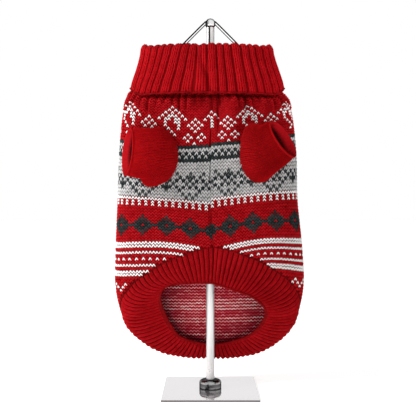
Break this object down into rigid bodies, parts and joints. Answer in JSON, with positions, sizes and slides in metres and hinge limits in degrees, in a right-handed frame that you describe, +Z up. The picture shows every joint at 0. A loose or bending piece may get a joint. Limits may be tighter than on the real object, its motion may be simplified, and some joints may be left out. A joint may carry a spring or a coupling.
{
  "type": "dog sweater on display stand",
  "caption": "Hollow knitted dog sweater with folded rib collar, short sleeves and drawn-in rib hem, hung on the arms of a chrome display stand with a square base.",
  "frame": {"origin": "middle of the base plate's underside, where the stand rests", "axes": "+Z up along the post, the belly side of the sweater with its seam and sleeves faces -Y, +X to the right seen from that side"},
  "size_m": [0.2115, 0.1184, 0.4152],
  "materials": {
    "patterned_wool": "stocking stitch with coloured bands",
    "collar_wool": "broad rib knit",
    "sleeve_wool": "fine rib knit",
    "band_wool": "rib knit",
    "chrome": "polished"
  },
  "bodies": {
    "root": {"body_panel": "patterned_wool", "collar": "collar_wool", "sleeve_left": "sleeve_wool", "sleeve_right": "sleeve_wool", "hem_band": "band_wool", "base_plate": "chrome", "boss": "chrome", "post": "chrome", "knob": "chrome", "arm_rod": "chrome"}
  },
  "joints": []
}
